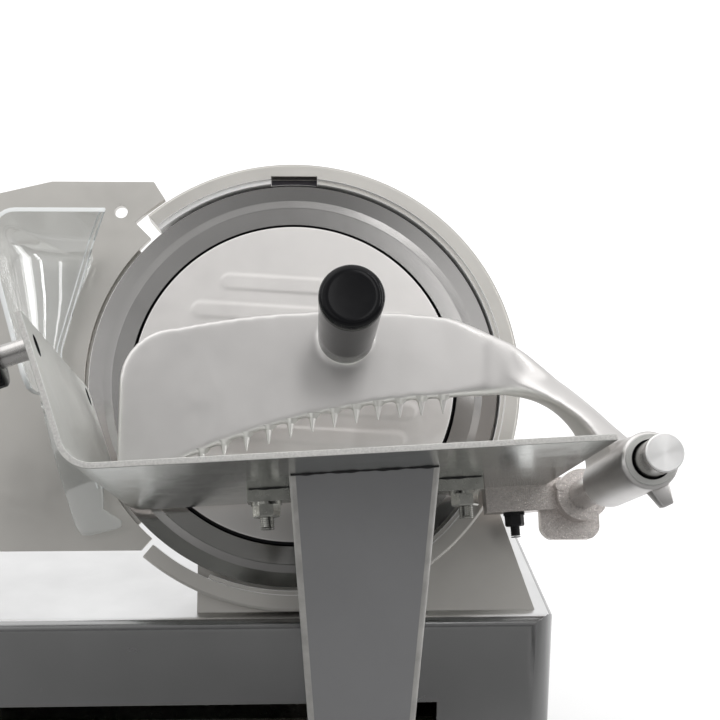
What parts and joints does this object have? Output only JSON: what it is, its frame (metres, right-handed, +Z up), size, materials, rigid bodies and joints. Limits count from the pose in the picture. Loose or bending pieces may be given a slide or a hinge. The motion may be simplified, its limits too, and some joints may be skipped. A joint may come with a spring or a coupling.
{
  "type": "electric food slicer",
  "caption": "Electric food slicer: leaning round blade in a ring guard, sliding gauge plate, tray carriage with a clear hand guard, and a toothed pusher that slides and swings on a rod.",
  "frame": {"origin": "On the table under the middle of the part's box, which is measured with the carriage back and the gauge closed.", "axes": "+X runs along the carriage stroke towards the motor end, -Y faces the user's side with the tray, +Z is up. The blade leans back by 25 degrees towards +Y."},
  "size_m": [0.486, 0.4036, 0.352],
  "materials": {
    "anodised": "light satin anodised casting",
    "cover_steel": "pale satin pressed cover",
    "tray_sheet": "finely blasted sheet with sheared edges",
    "arm_grey": "mid grey satin coat with pale edges",
    "blade_steel": "polished hard steel with turned lines",
    "turned_steel": "bright turned steel",
    "milled": "milled warm grey aluminium",
    "zinc": "zinc plated steel",
    "black_oxide": "black oxide",
    "black_plastic": "glossy black plastic",
    "rubber": "black rubber",
    "motor_paint": "grey motor paint",
    "dial": "satin disc with printed figures",
    "bush_white": "slippery white plastic",
    "bronze": "plain bronze",
    "clear": "clear moulded plastic",
    "green": "green button",
    "red": "red button",
    "lamp": "amber lens"
  },
  "bodies": {
    "frame": {"base_casting": "anodised", "base_plate": "zinc", "rubber_feet": "rubber", "blade_housing": "anodised", "housing_bolts": "zinc", "ring_guard": "anodised", "ring_screws": "zinc", "spindle": "turned_steel", "spindle_nut": "zinc", "blade_cover": "cover_steel", "slice_deflector": "anodised", "motor_body": "motor_paint", "motor_screws": "zinc", "motor_cover": "anodised", "drive_belt": "rubber", "guide_rod": "turned_steel", "support_rail": "milled", "slide_lugs": "milled", "gauge_shaft": "turned_steel", "switch_panel": "black_plastic", "switch_body": "black_plastic", "pilot_lamp": "lamp", "cable_gland": "black_plastic", "dial_plate": "dial"},
    "blade_rotor": {"blade": "blade_steel", "blade_pulley": "milled", "blade_screws": "zinc", "blade_bearings": "turned_steel"},
    "motor_rotor": {"motor_shaft": "turned_steel", "motor_pulley": "milled"},
    "cover_tie": {"cover_knob": "black_plastic", "tie_rod": "turned_steel"},
    "gauge": {"gauge_plate": "anodised", "gauge_bracket": "milled", "gauge_screws": "zinc", "gauge_pin": "turned_steel"},
    "index": {"index_knob": "black_plastic", "index_shaft": "turned_steel", "index_cam": "milled"},
    "on_switch": {"on_button": "green"},
    "off_switch": {"off_button": "red"},
    "carriage": {"carriage_slider": "milled", "slider_bushes": "bronze", "carriage_arm": "arm_grey", "arm_screws": "zinc", "tray": "tray_sheet", "cross_bar": "zinc", "tray_fasteners": "zinc", "rod_bracket": "milled", "bracket_bolt": "black_oxide", "pusher_rod": "turned_steel", "rod_stop": "turned_steel", "handle_rod": "turned_steel", "carriage_grip": "black_plastic", "hand_guard": "clear", "guard_screw": "zinc"},
    "bush": {"pusher_bush": "bush_white"},
    "pusher": {"pusher_casting": "anodised", "pusher_handle": "black_plastic"}
  },
  "joints": [
    {"name": "blade_spin", "type": "hinge", "parent": "frame", "child": "blade_rotor", "pos_m": [0.0595, 0.02177, 0.22507], "axis": [0, -0.9063, 0.4226], "continuous": true},
    {"name": "motor_spin", "type": "hinge", "parent": "frame", "child": "motor_rotor", "pos_m": [0.1345, 0.02599, 0.23413], "axis": [0, -0.9063, 0.4226], "continuous": true},
    {"name": "cover_knob_turn", "type": "hinge", "parent": "frame", "child": "cover_tie", "pos_m": [0.0595, 0.07615, 0.19971], "axis": [0, -0.9063, 0.4226], "range_deg": [-720, 0]},
    {"name": "gauge_slide", "type": "slide", "parent": "frame", "child": "gauge", "axis": [0, 0.9063, -0.4226], "range_m": [0, 0.012]},
    {"name": "index_turn", "type": "hinge", "parent": "frame", "child": "index", "pos_m": [-0.2155, 0.01377, 0.0615], "axis": [1, 0, 0], "range_deg": [0, 301]},
    {"name": "on_press", "type": "slide", "parent": "frame", "child": "on_switch", "axis": [1, 0, 0], "range_m": [0, 0.003], "stiffness_N_per_m": 400},
    {"name": "off_press", "type": "slide", "parent": "frame", "child": "off_switch", "axis": [1, 0, 0], "range_m": [0, 0.003], "stiffness_N_per_m": 400},
    {"name": "carriage_slide", "type": "slide", "parent": "frame", "child": "carriage", "axis": [1, 0, 0], "range_m": [-0.225, 0.02]},
    {"name": "pusher_slide", "type": "slide", "parent": "carriage", "child": "bush", "axis": [0, -0.9063, 0.4226], "range_m": [-0.058, 0.012]},
    {"name": "pusher_swing", "type": "hinge", "parent": "bush", "child": "pusher", "pos_m": [0.228, -0.10014, 0.20026], "axis": [0, 0.9063, -0.4226], "range_deg": [0, 92]}
  ],
  "couplings": [
    {"joint": "motor_spin", "follows": "blade_spin", "ratio": 3.125},
    {"joint": "index_turn", "follows": "gauge_slide", "rad_per_m": 436.33}
  ]
}
